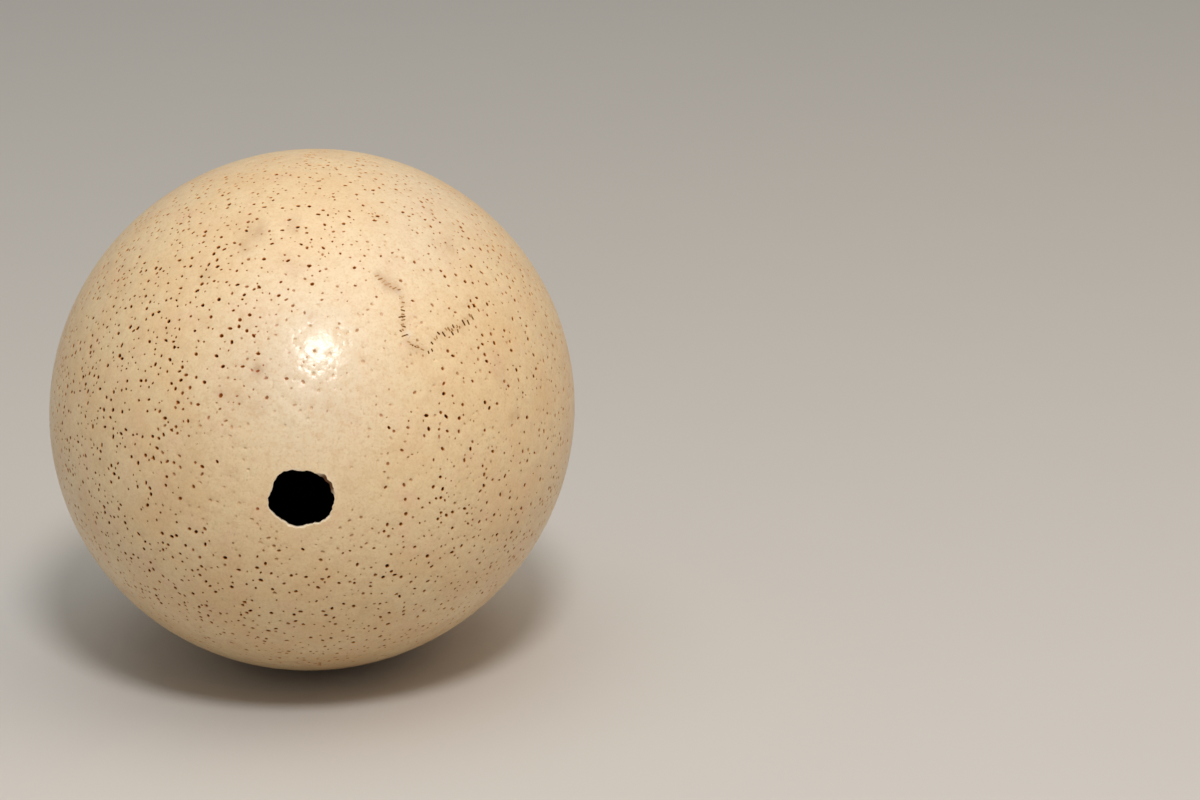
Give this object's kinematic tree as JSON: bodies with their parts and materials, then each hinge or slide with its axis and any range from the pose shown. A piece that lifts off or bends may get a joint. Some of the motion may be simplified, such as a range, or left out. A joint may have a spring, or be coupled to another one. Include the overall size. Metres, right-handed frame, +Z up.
{
  "type": "ostrich egg",
  "caption": "Blown ostrich egg lying on its side: a thin, hollow, pitted ivory shell, open through a ragged blow hole in one end.",
  "frame": {"origin": "on the resting surface, at the middle of the bottom of the egg's box", "axes": "+Y along the egg from the holed end to the closed end, +X to the right of someone facing the hole, +Z up"},
  "size_m": [0.1292, 0.1516, 0.1263],
  "materials": {
    "eggshell": "satin, with brown pores and stains"
  },
  "bodies": {
    "root": {"eggshell": "eggshell"}
  },
  "joints": []
}
